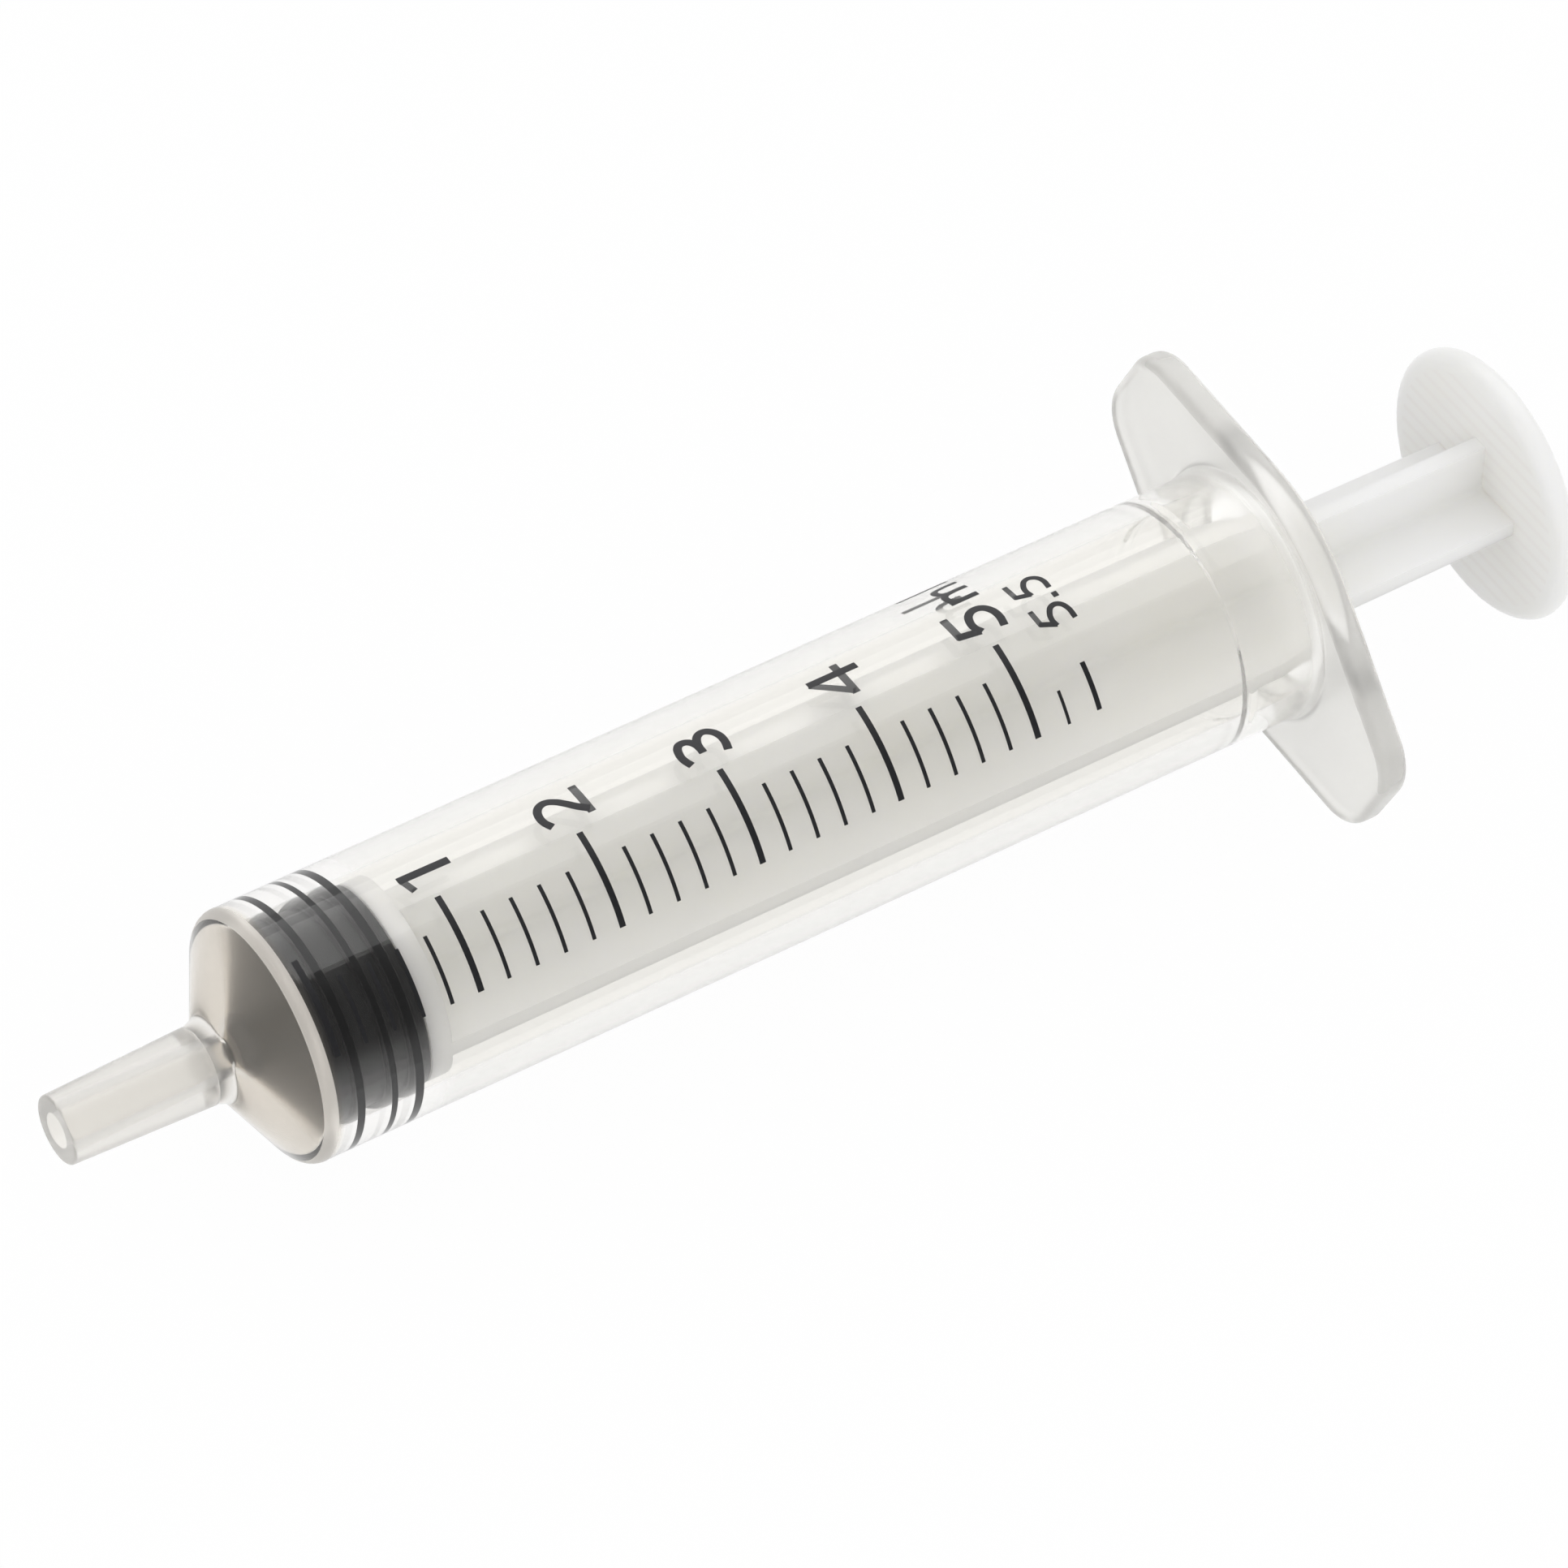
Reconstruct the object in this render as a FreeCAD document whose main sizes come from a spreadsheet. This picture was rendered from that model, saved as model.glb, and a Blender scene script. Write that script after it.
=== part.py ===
import FreeCAD, Part
import math
import os
import Sketcher

# 5 ml three-piece syringe with a central slip nozzle: barrel, rubber gasket, plunger rod.
# X runs from the nozzle's end face to the thumb rest, Y along the finger flange.

doc = FreeCAD.newDocument("Syringe")
sheet = doc.addObject("Spreadsheet::Sheet", "Sizes")

driving = [
    # barrel: nozzle and shoulder
    ("tipRadius", "1.98"),
    ("tipSlope", "0.03"),
    ("nozzleLength", "8.6"),
    ("nozzleStep", "0.08"),
    ("collarLength", "0.9"),
    ("collarRadius", "2.5"),
    ("shoulderAngle", "59.1"),
    ("tipLumenRadius", "1.0"),
    ("rearLumenRadius", "0.8"),
    ("tipChamfer", "0.15"),
    ("collarFillet", "0.3"),
    ("shoulderRound", "0.8"),
    # barrel: tube, retention bead and mouth
    ("noseAngle", "67.5"),
    ("boreRadius", "6.03"),
    ("barrelWall", "1.235"),
    ("barrelLength", "76.8"),
    ("beadFromRear", "6.0"),
    ("beadWidth", "0.9"),
    ("beadLand", "0.3"),
    ("beadHeight", "0.15"),
    ("mouthLength", "2.3"),
    ("mouthFlare", "0.57"),
    # barrel: finger flange
    ("flangeThickness", "1.8"),
    ("flangeMargin", "1.585"),
    ("flangeArcRadius", "10.0"),
    ("flangeReach", "13.95"),
    ("flangeAngle", "23.0"),
    ("flangeCorner", "3.2"),
    ("flangeChamfer", "0.45"),
    ("flangeFillet", "0.6"),
    # gasket
    ("noseSetback", "0.25"),
    ("gasketClearance", "0.03"),
    ("frontLand", "0.95"),
    ("frontRib", "0.55"),
    ("frontGroove", "1.55"),
    ("middleRib", "0.45"),
    ("rearGroove", "1.0"),
    ("rearRib", "0.6"),
    ("rearLand", "0.7"),
    ("landDepth", "0.28"),
    ("grooveDepth", "0.42"),
    ("noseRadius", "1.1"),
    ("noseClearance", "0.12"),
    ("noseRound", "0.4"),
    ("socketClearance", "0.08"),
    # plunger: barbed head, neck and front disc
    ("headTipRadius", "2.4"),
    ("headRadius", "3.5"),
    ("headTaper", "1.45"),
    ("headLand", "0.5"),
    ("neckRadius", "2.3"),
    ("neckLength", "2.5"),
    ("discClearance", "0.05"),
    ("discThickness", "1.25"),
    ("discSideClearance", "0.33"),
    # plunger: crossed ribs and thumb rest
    ("ribThickness", "1.0"),
    ("ribSideClearance", "0.53"),
    ("ribTaperLength", "3.4"),
    ("ribTaperDrop", "0.5"),
    ("ribStepLength", "1.6"),
    ("ribWaistRadius", "3.7"),
    ("ribEndRadius", "3.6"),
    ("valleyFillet", "0.4"),
    ("restStandOff", "15.1"),
    ("restThickness", "1.4"),
    ("restRadius", "8.04"),
    ("restMargin", "1.04"),
    ("gripPitch", "0.95"),
    ("gripWidth", "0.4"),
    ("gripDepth", "0.2"),
    ("rodTurn", "25.1"),
]
for row, (alias, number) in enumerate(driving, 1):
    sheet.set("A%d" % row, alias)
    sheet.set("B%d" % row, number)
    sheet.setAlias("B%d" % row, alias)
doc.recompute()
size = {alias: float(sheet.get(alias)) for alias, number in driving}

# Places along X that several sketches share, as formulas on the sheet.
tanShoulder = "tan(Sizes.shoulderAngle * 1 deg)"
sinShoulder = "sin(Sizes.shoulderAngle * 1 deg)"
tanNose = "tan(Sizes.noseAngle * 1 deg)"
collarEnd = "Sizes.nozzleLength + Sizes.collarLength"
barrelRadius = "(Sizes.boreRadius + Sizes.barrelWall)"
shoulderEnd = collarEnd + " + (" + barrelRadius + " - Sizes.collarRadius) / " + tanShoulder
boreFront = (collarEnd + " + (Sizes.boreRadius - Sizes.collarRadius) / " + tanShoulder
             + " + Sizes.barrelWall / " + sinShoulder)
lumenEnd = boreFront + " - (Sizes.boreRadius - Sizes.rearLumenRadius) / " + tanNose
noseFront = (boreFront + " - (Sizes.boreRadius - Sizes.noseRadius) / " + tanNose
             + " + Sizes.noseClearance")
beadMiddle = "Sizes.barrelLength - Sizes.beadFromRear"
flangeFront = "Sizes.barrelLength - Sizes.flangeThickness"
gasketFront = boreFront + " + Sizes.noseSetback"
frontRibStart = gasketFront + " + Sizes.frontLand"
frontRibEnd = frontRibStart + " + Sizes.frontRib"
middleRibStart = frontRibEnd + " + Sizes.frontGroove"
middleRibEnd = middleRibStart + " + Sizes.middleRib"
rearRibStart = middleRibEnd + " + Sizes.rearGroove"
rearRibEnd = rearRibStart + " + Sizes.rearRib"
gasketRear = rearRibEnd + " + Sizes.rearLand"
gasketRadius = "Sizes.boreRadius - Sizes.gasketClearance"
discFront = gasketRear + " + Sizes.discClearance"
discRear = discFront + " + Sizes.discThickness"
headRear = discFront + " - Sizes.neckLength"
headLandStart = headRear + " - Sizes.headLand"
headFront = headLandStart + " - Sizes.headTaper"
ribRadius = "(Sizes.boreRadius - Sizes.ribSideClearance)"
restRear = "Sizes.barrelLength + Sizes.restStandOff"
restFront = restRear + " - Sizes.restThickness"
rimCentre = "Sizes.restRadius - Sizes.restThickness / 2"
gripRadius = "(Sizes.restRadius - Sizes.restMargin)"
gripSteps = "floor(2 * " + gripRadius + " / Sizes.gripPitch - 1)"


def sketchOn(body, name, role):
    sketch = body.newObject("Sketcher::SketchObject", name)
    plane = [item for item in body.Origin.OriginFeatures if item.Role == role][0]
    sketch.AttachmentSupport = (plane, [""])
    sketch.MapMode = "FlatFace"
    return sketch


def fixPoint(sketch, line, end, across, up):
    # the point is held at two formulas, or on an axis where the formula is 0
    spot = sketch.getPoint(line, end)
    for kind, axis, start, formula in (("DistanceX", -2, spot.x, across), ("DistanceY", -1, spot.y, up)):
        if formula == "0":
            sketch.addConstraint(Sketcher.Constraint("PointOnObject", line, end, axis))
        else:
            index = sketch.addConstraint(Sketcher.Constraint(kind, -1, 1, line, end, start))
            sketch.setExpression("Constraints[%d]" % index, formula)


def outline(sketch, corners):
    # a closed chain of lines; the solver moves its corners from a ring to their formulas
    count = len(corners)
    ring = [FreeCAD.Vector(count * (2 + math.cos(2 * math.pi * i / count)),
                           count * (2 + math.sin(2 * math.pi * i / count)), 0) for i in range(count)]
    for i in range(count):
        sketch.addGeometry(Part.LineSegment(ring[i], ring[(i + 1) % count]), False)
    for i in range(count):
        sketch.addConstraint(Sketcher.Constraint("Coincident", i, 2, (i + 1) % count, 1))
    for i, corner in enumerate(corners):
        fixPoint(sketch, i, 1, corner[0], corner[1])
    doc.recompute()
    # a corner with a third item is rounded to the radius of that name
    for i, corner in enumerate(corners):
        if len(corner) == 3:
            lines = [sketch.Geometry[i - 1], sketch.Geometry[i]]
            middles = [(line.StartPoint + line.EndPoint) / 2 for line in lines]
            sketch.fillet(i - 1, i, middles[0], middles[1], size[corner[2]], True, True)
            arc = sketch.GeometryCount - 2
            index = sketch.addConstraint(Sketcher.Constraint("Radius", arc, size[corner[2]]))
            sketch.setExpression("Constraints[%d]" % index, "Sizes." + corner[2])


def feature(body, kind, name, sketch, **settings):
    made = body.newObject(kind, name)
    made.Profile = sketch
    for key, value in settings.items():
        setattr(made, key, value)
    return made


def spun(body, kind, name, sketch):
    return feature(body, kind, name, sketch, ReferenceAxis=(sketch, ["H_Axis"]), Angle=360)


def rounded(body, name, base, chosen, radiusName):
    doc.recompute()
    edges = ["Edge%d" % (i + 1) for i, edge in enumerate(base.Shape.Edges) if chosen(edge)]
    fillet = body.newObject("PartDesign::Fillet", name)
    fillet.Base = (base, edges)
    fillet.Radius = size[radiusName]
    fillet.setExpression("Radius", "Sizes." + radiusName)
    return fillet


# Barrel: nozzle, shoulder and tube are turned in one sketch.
barrel = doc.addObject("PartDesign::Body", "Barrel")
barrel.Label = "barrel"
barrel.Placement = FreeCAD.Placement()
outer = sketchOn(barrel, "OuterProfile", "XZ_Plane")
nozzleEndRadius = "Sizes.tipRadius + Sizes.tipSlope * Sizes.nozzleLength"
outline(outer, [
    ("0", "0"),
    ("0", "Sizes.tipRadius - Sizes.tipChamfer"),
    ("Sizes.tipChamfer", "Sizes.tipRadius + Sizes.tipSlope * Sizes.tipChamfer"),
    ("Sizes.nozzleLength", nozzleEndRadius),
    ("Sizes.nozzleLength", nozzleEndRadius + " - Sizes.nozzleStep"),
    (collarEnd, "Sizes.collarRadius", "collarFillet"),
    (shoulderEnd, barrelRadius, "shoulderRound"),
    ("Sizes.barrelLength", barrelRadius),
    ("Sizes.barrelLength", "0"),
])
outerTurned = spun(barrel, "PartDesign::Revolution", "OuterTurned", outer)

# Finger flange: a flat arc at the middle, straight tapering wings tangent to it, flat ends.
flangeSketch = sketchOn(barrel, "FlangeOutline", "YZ_Plane")
flangeSketch.AttachmentOffset = FreeCAD.Placement(
    FreeCAD.Vector(0, 0, size["barrelLength"] - size["flangeThickness"]), FreeCAD.Rotation())
flangeSketch.setExpression("AttachmentOffset.Base.z", flangeFront)
outerSize = size["boreRadius"] + size["barrelWall"]
flangeSize = outerSize + size["flangeMargin"]
lean = math.radians(size["flangeAngle"])
arcCentre = flangeSize - size["flangeArcRadius"]
touch = FreeCAD.Vector(size["flangeArcRadius"] * math.sin(lean),
                       arcCentre + size["flangeArcRadius"] * math.cos(lean), 0)
endHalf = touch.y - (size["flangeReach"] - touch.x) * math.tan(lean)
corner = FreeCAD.Vector(size["flangeReach"], endHalf, 0)
for side in (1, -1):
    middle = math.pi / 2 * side
    flangeSketch.addGeometry(Part.ArcOfCircle(
        Part.Circle(FreeCAD.Vector(0, arcCentre * side, 0), FreeCAD.Vector(0, 0, 1),
                    size["flangeArcRadius"]),
        middle - lean, middle + lean), False)
for across, up in ((1, 1), (-1, 1), (-1, -1), (1, -1)):
    flangeSketch.addGeometry(Part.LineSegment(
        FreeCAD.Vector(touch.x * across, touch.y * up, 0),
        FreeCAD.Vector(corner.x * across, corner.y * up, 0)), False)
flangeSketch.addGeometry(Part.LineSegment(
    FreeCAD.Vector(corner.x, corner.y, 0), FreeCAD.Vector(corner.x, -corner.y, 0)), False)
flangeSketch.addGeometry(Part.LineSegment(
    FreeCAD.Vector(-corner.x, corner.y, 0), FreeCAD.Vector(-corner.x, -corner.y, 0)), False)
for first, firstEnd, second, secondEnd in (
        (0, 1, 2, 1), (0, 2, 3, 1), (1, 1, 4, 1), (1, 2, 5, 1),
        (2, 2, 6, 1), (5, 2, 6, 2), (3, 2, 7, 1), (4, 2, 7, 2)):
    flangeSketch.addConstraint(Sketcher.Constraint("Coincident", first, firstEnd, second, secondEnd))
flangeCentre = "(" + barrelRadius + " + Sizes.flangeMargin - Sizes.flangeArcRadius)"
touchAcross = "Sizes.flangeArcRadius * sin(Sizes.flangeAngle * 1 deg)"
touchUp = flangeCentre + " + Sizes.flangeArcRadius * cos(Sizes.flangeAngle * 1 deg)"
cornerUp = (touchUp + " - (Sizes.flangeReach - " + touchAcross
            + ") * tan(Sizes.flangeAngle * 1 deg)")
for arc, side in ((0, 1), (1, -1)):
    fixPoint(flangeSketch, arc, 3, "0", "%d * %s" % (side, flangeCentre))
    index = flangeSketch.addConstraint(
        Sketcher.Constraint("Radius", arc, size["flangeArcRadius"]))
    flangeSketch.setExpression("Constraints[%d]" % index, "Sizes.flangeArcRadius")
for line, across in ((2, 1), (3, -1), (4, -1), (5, 1)):
    index = flangeSketch.addConstraint(
        Sketcher.Constraint("DistanceX", -1, 1, line, 1, touch.x * across))
    flangeSketch.setExpression("Constraints[%d]" % index, "%d * %s" % (across, touchAcross))
for line, across, up in ((2, 1, 1), (3, -1, 1), (4, -1, -1), (5, 1, -1)):
    fixPoint(flangeSketch, line, 2, "%d * Sizes.flangeReach" % across, "%d * (%s)" % (up, cornerUp))
flangePad = feature(barrel, "PartDesign::Pad", "FlangePad", flangeSketch,
                    Length=size["flangeThickness"])
flangePad.setExpression("Length", "Sizes.flangeThickness")
reach = size["flangeReach"]
corners = rounded(barrel, "FlangeCorners", flangePad, lambda edge: (
    edge.BoundBox.XLength > 1 and edge.BoundBox.YLength < 1e-5
    and abs(abs(edge.BoundBox.YMin) - reach) < 1e-4), "flangeCorner")

doc.recompute()

# The flange's rim is chamfered, its root on the tube is filleted.
flangeStart = size["barrelLength"] - size["flangeThickness"]
rimEdges = ["Edge%d" % (i + 1) for i, edge in enumerate(corners.Shape.Edges) if (
    edge.BoundBox.XLength < 1e-4 and edge.BoundBox.XMin > flangeStart - 1e-4
    and edge.CenterOfMass.sub(FreeCAD.Vector(edge.BoundBox.XMin, 0, 0)).Length > outerSize / 2)]
rim = barrel.newObject("PartDesign::Chamfer", "FlangeRim")
rim.Base = (corners, rimEdges)
rim.Size = size["flangeChamfer"]
rim.setExpression("Size", "Sizes.flangeChamfer")
root = rounded(barrel, "FlangeRoot", rim, lambda edge: (
    isinstance(edge.Curve, Part.Circle) and abs(edge.Curve.Radius - outerSize) < 1e-4
    and abs(edge.Curve.Center.x - flangeStart) < 1e-4), "flangeFillet")

# Everything hollow is one groove: lumen, inner cone, bore, retention bead and mouth.
inner = sketchOn(barrel, "InnerProfile", "XZ_Plane")
halfBead = " Sizes.beadWidth / 2"
halfLand = " Sizes.beadLand / 2"
outline(inner, [
    ("0", "0"),
    ("0", "Sizes.tipLumenRadius"),
    (lumenEnd, "Sizes.rearLumenRadius"),
    (boreFront, "Sizes.boreRadius"),
    (beadMiddle + " -" + halfBead, "Sizes.boreRadius"),
    (beadMiddle + " -" + halfLand, "Sizes.boreRadius - Sizes.beadHeight"),
    (beadMiddle + " +" + halfLand, "Sizes.boreRadius - Sizes.beadHeight"),
    (beadMiddle + " +" + halfBead, "Sizes.boreRadius"),
    ("Sizes.barrelLength - Sizes.mouthLength", "Sizes.boreRadius"),
    ("Sizes.barrelLength", "Sizes.boreRadius + Sizes.mouthFlare"),
    ("Sizes.barrelLength", "0"),
])
hollow = spun(barrel, "PartDesign::Groove", "Hollow", inner)
barrel.Tip = hollow

# Gasket: turned, with three narrow sealing ribs and a cone that empties the barrel.
gasket = doc.addObject("PartDesign::Body", "Gasket")
gasket.Label = "gasket"
gasket.Placement = FreeCAD.Placement()
gasketSketch = sketchOn(gasket, "GasketProfile", "XZ_Plane")
grooveRadius = gasketRadius + " - Sizes.grooveDepth"
landRadius = gasketRadius + " - Sizes.landDepth"
outline(gasketSketch, [
    (noseFront, "0"),
    (noseFront, "Sizes.noseRadius", "noseRound"),
    (gasketFront, landRadius),
    (frontRibStart, landRadius),
    (frontRibStart, gasketRadius),
    (frontRibEnd, gasketRadius),
    (frontRibEnd, grooveRadius),
    (middleRibStart, grooveRadius),
    (middleRibStart, gasketRadius),
    (middleRibEnd, gasketRadius),
    (middleRibEnd, grooveRadius),
    (rearRibStart, grooveRadius),
    (rearRibStart, gasketRadius),
    (rearRibEnd, gasketRadius),
    (rearRibEnd, landRadius),
    (gasketRear, landRadius),
    (gasketRear, "0"),
])
gasketTurned = spun(gasket, "PartDesign::Revolution", "GasketTurned", gasketSketch)

# Undercut socket for the plunger's head: the head's own profile grown by the clearance.
socketSketch = sketchOn(gasket, "SocketProfile", "XZ_Plane")
outline(socketSketch, [
    (headFront + " - Sizes.socketClearance", "0"),
    (headFront + " - Sizes.socketClearance", "Sizes.headTipRadius + Sizes.socketClearance"),
    (headLandStart + " - Sizes.socketClearance", "Sizes.headRadius + Sizes.socketClearance"),
    (headRear + " + Sizes.socketClearance", "Sizes.headRadius + Sizes.socketClearance"),
    (headRear + " + Sizes.socketClearance", "Sizes.neckRadius + Sizes.socketClearance"),
    (gasketRear, "Sizes.neckRadius + Sizes.socketClearance"),
    (gasketRear, "0"),
])
socket = spun(gasket, "PartDesign::Groove", "Socket", socketSketch)
gasket.Tip = socket

# Plunger: barbed head, neck, front disc and thumb rest are turned, the crossed ribs are pads.
plunger = doc.addObject("PartDesign::Body", "Plunger")
plunger.Label = "plunger"
headSketch = sketchOn(plunger, "HeadProfile", "XZ_Plane")
outline(headSketch, [
    (headFront, "0"),
    (headFront, "Sizes.headTipRadius"),
    (headLandStart, "Sizes.headRadius"),
    (headRear, "Sizes.headRadius"),
    (headRear, "Sizes.neckRadius"),
    (discFront, "Sizes.neckRadius"),
    (discFront, "Sizes.boreRadius - Sizes.discSideClearance"),
    (discRear, "Sizes.boreRadius - Sizes.discSideClearance"),
    (discRear, "0"),
])
head = spun(plunger, "PartDesign::Revolution", "Head", headSketch)

ribSketch = sketchOn(plunger, "RibProfile", "XZ_Plane")
ribStart = discRear + " - Sizes.discThickness / 2"
ribStop = restFront + " + Sizes.restThickness / 2"
ribHalf = [
    (ribStart, ribRadius),
    ("Sizes.barrelLength - Sizes.ribTaperLength", ribRadius),
    ("Sizes.barrelLength", "(" + ribRadius + " - Sizes.ribTaperDrop)"),
    ("Sizes.barrelLength + Sizes.ribStepLength", "Sizes.ribWaistRadius"),
    (ribStop, "Sizes.ribEndRadius"),
]
outline(ribSketch, ribHalf + [(along, "-1 * " + out) for along, out in reversed(ribHalf)])
rib = feature(plunger, "PartDesign::Pad", "Rib", ribSketch, Length=size["ribThickness"],
              SideType="Symmetric")
rib.setExpression("Length", "Sizes.ribThickness")
doc.recompute()
cross = plunger.newObject("PartDesign::PolarPattern", "CrossedRibs")
cross.Originals = [rib]
plunger.Tip = cross
cross.Axis = ([item for item in plunger.Origin.OriginFeatures if item.Role == "X_Axis"][0], [""])
cross.Angle = 90
cross.Occurrences = 2

discSketch = sketchOn(plunger, "RestDiscProfile", "XZ_Plane")
outline(discSketch, [
    (restFront, "0"),
    (restFront, gripRadius),
    (restRear, gripRadius),
    (restRear, "0"),
])
disc = spun(plunger, "PartDesign::Revolution", "RestDisc", discSketch)
valleys = rounded(plunger, "ValleyFillets", disc, lambda edge: (
    isinstance(edge.Curve, Part.Line) and edge.BoundBox.XLength > size["restStandOff"]
    and abs(abs(edge.CenterOfMass.y) - size["ribThickness"] / 2) < 1e-4
    and abs(abs(edge.CenterOfMass.z) - size["ribThickness"] / 2) < 1e-4), "valleyFillet")

# Grip lines in the thumb rest's rear face, one groove repeated.
gripSketch = sketchOn(plunger, "GripGroove", "XZ_Plane")
gripStart = "-1 * Sizes.gripPitch * " + gripSteps + " / 2"
outline(gripSketch, [
    (restRear + " - Sizes.gripDepth", gripStart),
    (restRear + " + Sizes.gripDepth", gripStart + " - Sizes.gripWidth"),
    (restRear + " + Sizes.gripDepth", gripStart + " + Sizes.gripWidth"),
])
grip = feature(plunger, "PartDesign::Pocket", "GripCut", gripSketch,
               Length=2 * size["restRadius"], SideType="Symmetric")
grip.setExpression("Length", "2 * Sizes.restRadius")
doc.recompute()
grips = plunger.newObject("PartDesign::LinearPattern", "GripCuts")
grips.Originals = [grip]
plunger.Tip = grips
grips.Direction = ([item for item in plunger.Origin.OriginFeatures if item.Role == "Z_Axis"][0], [""])
grips.setExpression("Length", "Sizes.gripPitch * " + gripSteps)
grips.setExpression("Occurrences", gripSteps + " + 1")

# The thumb rest's plain rim, fully rounded, closes the ends of the grip lines.
rimSketch = sketchOn(plunger, "RestRimProfile", "XZ_Plane")
half = size["restThickness"] / 2
rimSize = size["restRadius"] - half
back = size["barrelLength"] + size["restStandOff"]
front = back - size["restThickness"]
inside = size["restRadius"] - size["restMargin"]
spots = [FreeCAD.Vector(front, inside, 0), FreeCAD.Vector(front, rimSize, 0),
         FreeCAD.Vector(back, rimSize, 0), FreeCAD.Vector(back, inside, 0)]
rimSketch.addGeometry(Part.LineSegment(spots[0], spots[1]), False)
rimSketch.addGeometry(Part.ArcOfCircle(Part.Circle(
    FreeCAD.Vector(front + half, rimSize, 0), FreeCAD.Vector(0, 0, 1), half), 0, math.pi), False)
rimSketch.addGeometry(Part.LineSegment(spots[2], spots[3]), False)
rimSketch.addGeometry(Part.LineSegment(spots[3], spots[0]), False)
for first, firstEnd, second, secondEnd in ((0, 2, 1, 2), (1, 1, 2, 1), (2, 2, 3, 1), (3, 2, 0, 1)):
    rimSketch.addConstraint(Sketcher.Constraint("Coincident", first, firstEnd, second, secondEnd))
fixPoint(rimSketch, 0, 1, restFront, gripRadius)
fixPoint(rimSketch, 0, 2, restFront, rimCentre)
fixPoint(rimSketch, 2, 1, restRear, rimCentre)
fixPoint(rimSketch, 2, 2, restRear, gripRadius)
index = rimSketch.addConstraint(Sketcher.Constraint("DistanceY", -1, 1, 1, 3, rimSize))
rimSketch.setExpression("Constraints[%d]" % index, rimCentre)
restRim = spun(plunger, "PartDesign::Revolution", "RestRim", rimSketch)
plunger.Tip = restRim

# The rod stands turned about its axis, as it was pushed home.
plunger.Placement = FreeCAD.Placement(
    FreeCAD.Vector(), FreeCAD.Rotation(FreeCAD.Vector(1, 0, 0), -size["rodTurn"]))
plunger.setExpression("Placement.Rotation.Angle", "-1 * Sizes.rodTurn")
doc.recompute()

for item in doc.Objects:
    if "Invalid" in item.State or "Error" in item.State:
        raise RuntimeError("%s is in state %s" % (item.Name, item.State))

os.makedirs("parts", exist_ok=True)
for body in (barrel, gasket, plunger):
    shape = body.Shape
    if shape.isNull() or not shape.isValid() or len(shape.Solids) != 1:
        raise RuntimeError("%s has no single valid solid" % body.Label)
    box = shape.BoundBox
    print("%s %.1f mm3, X %.2f to %.2f, Y %.2f to %.2f, Z %.2f to %.2f" % (
        body.Label, shape.Volume, box.XMin, box.XMax, box.YMin, box.YMax, box.ZMin, box.ZMax))
    shape.exportStep("parts/%s.step" % body.Label)
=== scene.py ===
import math

import bpy
from mathutils import Matrix, Vector


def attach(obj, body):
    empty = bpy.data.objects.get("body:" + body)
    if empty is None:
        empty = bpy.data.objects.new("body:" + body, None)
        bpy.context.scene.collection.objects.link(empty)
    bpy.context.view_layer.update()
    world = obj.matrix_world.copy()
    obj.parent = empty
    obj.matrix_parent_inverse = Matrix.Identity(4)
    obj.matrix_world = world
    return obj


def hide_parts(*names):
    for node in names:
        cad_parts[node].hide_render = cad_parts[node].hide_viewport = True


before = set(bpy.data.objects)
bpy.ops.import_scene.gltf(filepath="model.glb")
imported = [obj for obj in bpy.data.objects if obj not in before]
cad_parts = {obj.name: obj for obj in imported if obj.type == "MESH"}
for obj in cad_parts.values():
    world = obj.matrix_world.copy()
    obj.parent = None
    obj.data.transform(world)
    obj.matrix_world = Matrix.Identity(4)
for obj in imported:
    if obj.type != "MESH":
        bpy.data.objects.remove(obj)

mm = 0.001
tableHeight = -0.00886  # just under the flange, below the barrel's axis
halfWay = (0.046, 0, 0)  # along the syringe, on its axis


def clearStarters():
    # The starting scene's own cube, lamp and camera are not part of the shot.
    for name in ("Cube", "Light", "Camera"):
        if name in bpy.data.objects:
            bpy.data.objects.remove(bpy.data.objects[name], do_unlink=True)


def fromHex(code, alpha=1.0):
    parts = [int(code[i:i + 2], 16) / 255 for i in (1, 3, 5)]
    linear = [c / 12.92 if c <= 0.04045 else ((c + 0.055) / 1.055) ** 2.4 for c in parts]
    return (*linear, alpha)


def addNode(tree, kind, settings=None, links=None):
    node = tree.nodes.new(kind)
    for key, value in (settings or {}).items():
        if key in node.inputs:
            node.inputs[key].default_value = value
        else:
            setattr(node, key, value)
    for key, source in (links or {}).items():
        tree.links.new(source, node.inputs[key])
    return node


def mathNode(tree, operation, first, second=0.0):
    node = tree.nodes.new("ShaderNodeMath")
    node.operation = operation
    for socket, value in zip(node.inputs, (first, second)):
        if isinstance(value, (int, float)):
            socket.default_value = value
        else:
            tree.links.new(value, socket)
    return node.outputs[0]


def newMaterial(name):
    material = bpy.data.materials.new(name)
    material.use_nodes = True
    material.node_tree.nodes.clear()
    return material, material.node_tree


def finishMaterial(tree, surface):
    addNode(tree, "ShaderNodeOutputMaterial", links={"Surface": surface})


clearStarters()
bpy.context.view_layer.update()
print("frame loaded")


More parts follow.
